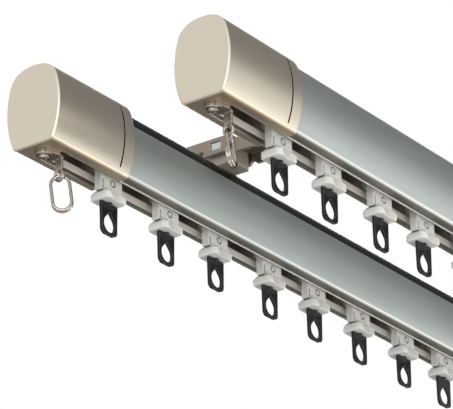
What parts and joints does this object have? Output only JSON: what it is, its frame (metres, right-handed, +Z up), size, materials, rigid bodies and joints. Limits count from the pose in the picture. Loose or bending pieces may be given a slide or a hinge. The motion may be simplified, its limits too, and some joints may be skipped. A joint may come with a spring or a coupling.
{
  "type": "double curtain track",
  "caption": "Double curtain track with two domed aluminium rails, metal end caps, wheeled runners with swivel hooks, split rings and telescopic wall brackets.",
  "frame": {"origin": "centre of the four slotted fixing holes of the two wall brackets, in the plane of the wall", "axes": "+X along the rails to the right as seen from the room, +Y into the wall, +Z up"},
  "size_m": [0.4579, 0.1393, 0.0981],
  "materials": {
    "rail_aluminium": "satin, fine lengthwise extrusion lines",
    "black_strip": "semi-gloss black",
    "cap_nickel": "satin champagne nickel plating",
    "screw_steel": "bright zinc-plated steel",
    "plate_steel": "plated pressed steel",
    "ring_nickel": "bright nickel-plated wire",
    "clip_nylon": "natural moulded nylon",
    "runner_nylon": "translucent off-white nylon, soft sheen",
    "hook_black": "glossy black moulded plastic",
    "bracket_paint": "satin warm grey-brown coated steel"
  },
  "bodies": {
    "wall_mounting": {"left_wall_bracket": "bracket_paint", "left_rear_clip": "clip_nylon", "right_wall_bracket": "bracket_paint", "right_rear_clip": "clip_nylon", "rear_clip_screws": "screw_steel", "rear_rail": "rail_aluminium", "rear_rail_strip": "black_strip", "rear_left_end_cap": "cap_nickel", "rear_right_end_cap": "cap_nickel", "rear_cap_screws": "screw_steel", "rear_left_eye_plate": "plate_steel", "rear_right_eye_plate": "plate_steel"},
    "front_track": {"left_arm": "bracket_paint", "left_front_clip": "clip_nylon", "right_arm": "bracket_paint", "right_front_clip": "clip_nylon", "front_clip_screws": "screw_steel", "front_rail": "rail_aluminium", "front_left_end_cap": "cap_nickel", "front_right_end_cap": "cap_nickel", "front_cap_screws": "screw_steel", "front_left_eye_plate": "plate_steel", "front_right_eye_plate": "plate_steel"},
    "rear_carrier_1": {"rear_runner_1": "runner_nylon"},
    "rear_hook_1": {"rear_hook_1": "hook_black"},
    "rear_carrier_2": {"rear_runner_2": "runner_nylon"},
    "rear_hook_2": {"rear_hook_2": "hook_black"},
    "rear_carrier_3": {"rear_runner_3": "runner_nylon"},
    "rear_hook_3": {"rear_hook_3": "hook_black"},
    "rear_carrier_4": {"rear_runner_4": "runner_nylon"},
    "rear_hook_4": {"rear_hook_4": "hook_black"},
    "rear_carrier_5": {"rear_runner_5": "runner_nylon"},
    "rear_hook_5": {"rear_hook_5": "hook_black"},
    "rear_carrier_6": {"rear_runner_6": "runner_nylon"},
    "rear_hook_6": {"rear_hook_6": "hook_black"},
    "rear_carrier_7": {"rear_runner_7": "runner_nylon"},
    "rear_hook_7": {"rear_hook_7": "hook_black"},
    "rear_carrier_8": {"rear_runner_8": "runner_nylon"},
    "rear_hook_8": {"rear_hook_8": "hook_black"},
    "rear_carrier_9": {"rear_runner_9": "runner_nylon"},
    "rear_hook_9": {"rear_hook_9": "hook_black"},
    "rear_left_ring": {"rear_left_ring": "ring_nickel"},
    "rear_right_ring": {"rear_right_ring": "ring_nickel"},
    "front_carrier_1": {"front_runner_1": "runner_nylon"},
    "front_hook_1": {"front_hook_1": "hook_black"},
    "front_carrier_2": {"front_runner_2": "runner_nylon"},
    "front_hook_2": {"front_hook_2": "hook_black"},
    "front_carrier_3": {"front_runner_3": "runner_nylon"},
    "front_hook_3": {"front_hook_3": "hook_black"},
    "front_carrier_4": {"front_runner_4": "runner_nylon"},
    "front_hook_4": {"front_hook_4": "hook_black"},
    "front_carrier_5": {"front_runner_5": "runner_nylon"},
    "front_hook_5": {"front_hook_5": "hook_black"},
    "front_carrier_6": {"front_runner_6": "runner_nylon"},
    "front_hook_6": {"front_hook_6": "hook_black"},
    "front_carrier_7": {"front_runner_7": "runner_nylon"},
    "front_hook_7": {"front_hook_7": "hook_black"},
    "front_left_ring": {"front_left_ring": "ring_nickel"},
    "front_right_ring": {"front_right_ring": "ring_nickel"}
  },
  "joints": [
    {"name": "projection_slide", "type": "slide", "parent": "wall_mounting", "child": "front_track", "axis": [0, 1, 0], "range_m": [-0.008, 0.003]},
    {"name": "rear_runner_1_slide", "type": "slide", "parent": "wall_mounting", "child": "rear_carrier_1", "axis": [1, 0, 0], "range_m": [-0.01705, 0.0216]},
    {"name": "rear_hook_1_swivel", "type": "hinge", "parent": "rear_carrier_1", "child": "rear_hook_1", "pos_m": [-0.18125, -0.058, -0.0671], "axis": [0, 0, 1], "continuous": true},
    {"name": "rear_runner_2_slide", "type": "slide", "parent": "wall_mounting", "child": "rear_carrier_2", "axis": [1, 0, 0], "range_m": [-0.0216, 0.0183]},
    {"name": "rear_hook_2_swivel", "type": "hinge", "parent": "rear_carrier_2", "child": "rear_hook_2", "pos_m": [-0.14675, -0.058, -0.0671], "axis": [0, 0, 1], "continuous": true},
    {"name": "rear_runner_3_slide", "type": "slide", "parent": "wall_mounting", "child": "rear_carrier_3", "axis": [1, 0, 0], "range_m": [-0.0183, 0.0226]},
    {"name": "rear_hook_3_swivel", "type": "hinge", "parent": "rear_carrier_3", "child": "rear_hook_3", "pos_m": [-0.11555, -0.058, -0.0671], "axis": [0, 0, 1], "continuous": true},
    {"name": "rear_runner_4_slide", "type": "slide", "parent": "wall_mounting", "child": "rear_carrier_4", "axis": [1, 0, 0], "range_m": [-0.0226, 0.0176]},
    {"name": "rear_hook_4_swivel", "type": "hinge", "parent": "rear_carrier_4", "child": "rear_hook_4", "pos_m": [-0.08005, -0.058, -0.0671], "axis": [0, 0, 1], "continuous": true},
    {"name": "rear_runner_5_slide", "type": "slide", "parent": "wall_mounting", "child": "rear_carrier_5", "axis": [1, 0, 0], "range_m": [-0.0176, 0.0188]},
    {"name": "rear_hook_5_swivel", "type": "hinge", "parent": "rear_carrier_5", "child": "rear_hook_5", "pos_m": [-0.04955, -0.058, -0.0671], "axis": [0, 0, 1], "continuous": true},
    {"name": "rear_runner_6_slide", "type": "slide", "parent": "wall_mounting", "child": "rear_carrier_6", "axis": [1, 0, 0], "range_m": [-0.0188, 0.0197]},
    {"name": "rear_hook_6_swivel", "type": "hinge", "parent": "rear_carrier_6", "child": "rear_hook_6", "pos_m": [-0.01785, -0.058, -0.0671], "axis": [0, 0, 1], "continuous": true},
    {"name": "rear_runner_7_slide", "type": "slide", "parent": "wall_mounting", "child": "rear_carrier_7", "axis": [1, 0, 0], "range_m": [-0.0197, 0.0173]},
    {"name": "rear_hook_7_swivel", "type": "hinge", "parent": "rear_carrier_7", "child": "rear_hook_7", "pos_m": [0.01475, -0.058, -0.0671], "axis": [0, 0, 1], "continuous": true},
    {"name": "rear_runner_8_slide", "type": "slide", "parent": "wall_mounting", "child": "rear_carrier_8", "axis": [1, 0, 0], "range_m": [-0.0173, 0.02015]},
    {"name": "rear_hook_8_swivel", "type": "hinge", "parent": "rear_carrier_8", "child": "rear_hook_8", "pos_m": [0.04495, -0.058, -0.0671], "axis": [0, 0, 1], "continuous": true},
    {"name": "rear_runner_9_slide", "type": "slide", "parent": "wall_mounting", "child": "rear_carrier_9", "axis": [1, 0, 0], "range_m": [-0.02015, 0.1203]},
    {"name": "rear_hook_9_swivel", "type": "hinge", "parent": "rear_carrier_9", "child": "rear_hook_9", "pos_m": [0.078, -0.058, -0.0671], "axis": [0, 0, 1], "continuous": true},
    {"name": "rear_left_ring_swing", "type": "hinge", "parent": "wall_mounting", "child": "rear_left_ring", "pos_m": [-0.21178, -0.05955, -0.0671], "axis": [0.9744, -0.225, 0], "range_deg": [-75, 75]},
    {"name": "rear_right_ring_swing", "type": "hinge", "parent": "wall_mounting", "child": "rear_right_ring", "pos_m": [0.21178, -0.05955, -0.0671], "axis": [0.9744, 0.225, 0], "range_deg": [-75, 75]},
    {"name": "front_runner_1_slide", "type": "slide", "parent": "front_track", "child": "front_carrier_1", "axis": [1, 0, 0], "range_m": [-0.01905, 0.0185]},
    {"name": "front_hook_1_swivel", "type": "hinge", "parent": "front_carrier_1", "child": "front_hook_1", "pos_m": [-0.17135, -0.1271, -0.0666], "axis": [0, 0, 1], "continuous": true},
    {"name": "front_runner_2_slide", "type": "slide", "parent": "front_track", "child": "front_carrier_2", "axis": [1, 0, 0], "range_m": [-0.0185, 0.0205]},
    {"name": "front_hook_2_swivel", "type": "hinge", "parent": "front_carrier_2", "child": "front_hook_2", "pos_m": [-0.13995, -0.1271, -0.0666], "axis": [0, 0, 1], "continuous": true},
    {"name": "front_runner_3_slide", "type": "slide", "parent": "front_track", "child": "front_carrier_3", "axis": [1, 0, 0], "range_m": [-0.0205, 0.0164]},
    {"name": "front_hook_3_swivel", "type": "hinge", "parent": "front_carrier_3", "child": "front_hook_3", "pos_m": [-0.10655, -0.1271, -0.0666], "axis": [0, 0, 1], "continuous": true},
    {"name": "front_runner_4_slide", "type": "slide", "parent": "front_track", "child": "front_carrier_4", "axis": [1, 0, 0], "range_m": [-0.0164, 0.01875]},
    {"name": "front_hook_4_swivel", "type": "hinge", "parent": "front_carrier_4", "child": "front_hook_4", "pos_m": [-0.07725, -0.1271, -0.0666], "axis": [0, 0, 1], "continuous": true},
    {"name": "front_runner_5_slide", "type": "slide", "parent": "front_track", "child": "front_carrier_5", "axis": [1, 0, 0], "range_m": [-0.01875, 0.0196]},
    {"name": "front_hook_5_swivel", "type": "hinge", "parent": "front_carrier_5", "child": "front_hook_5", "pos_m": [-0.0456, -0.1271, -0.0666], "axis": [0, 0, 1], "continuous": true},
    {"name": "front_runner_6_slide", "type": "slide", "parent": "front_track", "child": "front_carrier_6", "axis": [1, 0, 0], "range_m": [-0.0196, 0.0201]},
    {"name": "front_hook_6_swivel", "type": "hinge", "parent": "front_carrier_6", "child": "front_hook_6", "pos_m": [-0.0131, -0.1271, -0.0666], "axis": [0, 0, 1], "continuous": true},
    {"name": "front_runner_7_slide", "type": "slide", "parent": "front_track", "child": "front_carrier_7", "axis": [1, 0, 0], "range_m": [-0.0201, 0.1863]},
    {"name": "front_hook_7_swivel", "type": "hinge", "parent": "front_carrier_7", "child": "front_hook_7", "pos_m": [0.0199, -0.1271, -0.0666], "axis": [0, 0, 1], "continuous": true},
    {"name": "front_left_ring_swing", "type": "hinge", "parent": "front_track", "child": "front_left_ring", "pos_m": [-0.20388, -0.12865, -0.0666], "axis": [0.9744, -0.225, 0], "range_deg": [-75, 75]},
    {"name": "front_right_ring_swing", "type": "hinge", "parent": "front_track", "child": "front_right_ring", "pos_m": [0.21968, -0.12865, -0.0666], "axis": [0.9744, 0.225, 0], "range_deg": [-75, 75]}
  ]
}
